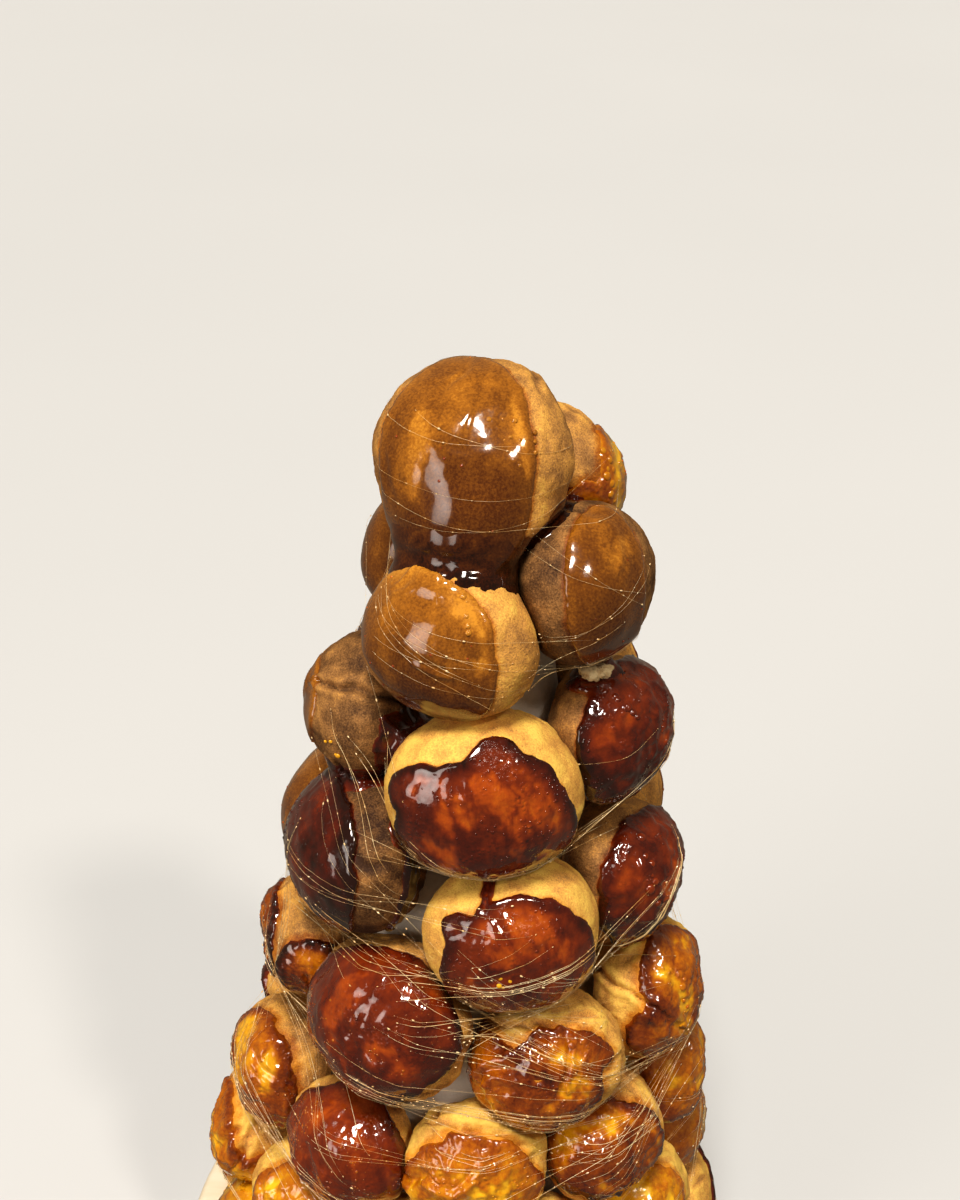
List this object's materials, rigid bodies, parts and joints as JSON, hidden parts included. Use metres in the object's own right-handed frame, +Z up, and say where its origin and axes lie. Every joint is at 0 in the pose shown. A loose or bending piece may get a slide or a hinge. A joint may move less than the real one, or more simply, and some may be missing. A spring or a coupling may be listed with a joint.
{
  "type": "croquembouche",
  "caption": "Tall tapered tower of filled choux buns glazed with caramel and wound with spun sugar, set round a smooth white core on a plain round wooden board.",
  "frame": {"origin": "middle of the round board's underside, on the tower's axis", "axes": "+Z up along the tower's axis, -Y towards the front, +X to the right as seen from the front"},
  "size_m": [0.19, 0.19, 0.341],
  "materials": {
    "choux_crust_1": "baked choux crust, matt and finely wrinkled, dull tan",
    "choux_crust_2": "baked choux crust, matt and finely wrinkled, dull tan",
    "choux_crust_3": "baked choux crust, matt and finely wrinkled, dull tan",
    "choux_crust_4": "baked choux crust, matt and finely wrinkled, tan to golden",
    "choux_crust_5": "baked choux crust, matt and finely wrinkled, tan to golden",
    "choux_crust_6": "baked choux crust, matt and finely wrinkled, pale golden yellow",
    "choux_crust_7": "baked choux crust, matt and finely wrinkled, pale golden yellow",
    "choux_crust_8": "baked choux crust, matt and finely wrinkled, pale golden yellow",
    "caramel_glaze": "hard caramel glaze, very glossy, dark mahogany where thick and amber where thin",
    "spun_sugar": "hair-fine threads of pale gold spun sugar",
    "core_white": "smooth white core",
    "board_wood": "plain oiled wood, softly rounded edge"
  },
  "bodies": {
    "root": {"round_board": "board_wood", "tapered_core": "core_white", "choux_1_1": "choux_crust_1", "choux_2_1": "choux_crust_2", "choux_2_2": "choux_crust_2", "choux_2_3": "choux_crust_2", "choux_2_4": "choux_crust_2", "choux_3_1": "choux_crust_3", "choux_3_2": "choux_crust_3", "choux_3_3": "choux_crust_3", "choux_3_4": "choux_crust_3", "choux_3_5": "choux_crust_3", "choux_4_1": "choux_crust_4", "choux_4_2": "choux_crust_4", "choux_4_3": "choux_crust_4", "choux_4_4": "choux_crust_4", "choux_4_5": "choux_crust_4", "choux_4_6": "choux_crust_4", "choux_5_1": "choux_crust_5", "choux_5_2": "choux_crust_5", "choux_5_3": "choux_crust_5", "choux_5_4": "choux_crust_5", "choux_5_5": "choux_crust_5", "choux_5_6": "choux_crust_5", "choux_5_7": "choux_crust_5", "choux_6_1": "choux_crust_6", "choux_6_2": "choux_crust_6", "choux_6_3": "choux_crust_6", "choux_6_4": "choux_crust_6", "choux_6_5": "choux_crust_6", "choux_6_6": "choux_crust_6", "choux_6_7": "choux_crust_6", "choux_6_8": "choux_crust_6", "choux_6_9": "choux_crust_6", "choux_7_1": "choux_crust_7", "choux_7_2": "choux_crust_7", "choux_7_3": "choux_crust_7", "choux_7_4": "choux_crust_7", "choux_7_5": "choux_crust_7", "choux_7_6": "choux_crust_7", "choux_7_7": "choux_crust_7", "choux_7_8": "choux_crust_7", "choux_7_9": "choux_crust_7", "choux_7_10": "choux_crust_7", "choux_8_1": "choux_crust_8", "choux_8_2": "choux_crust_8", "choux_8_3": "choux_crust_8", "choux_8_4": "choux_crust_8", "choux_8_5": "choux_crust_8", "choux_8_6": "choux_crust_8", "choux_8_7": "choux_crust_8", "choux_8_8": "choux_crust_8", "choux_8_9": "choux_crust_8", "choux_8_10": "choux_crust_8", "choux_8_11": "choux_crust_8"}
  },
  "joints": []
}
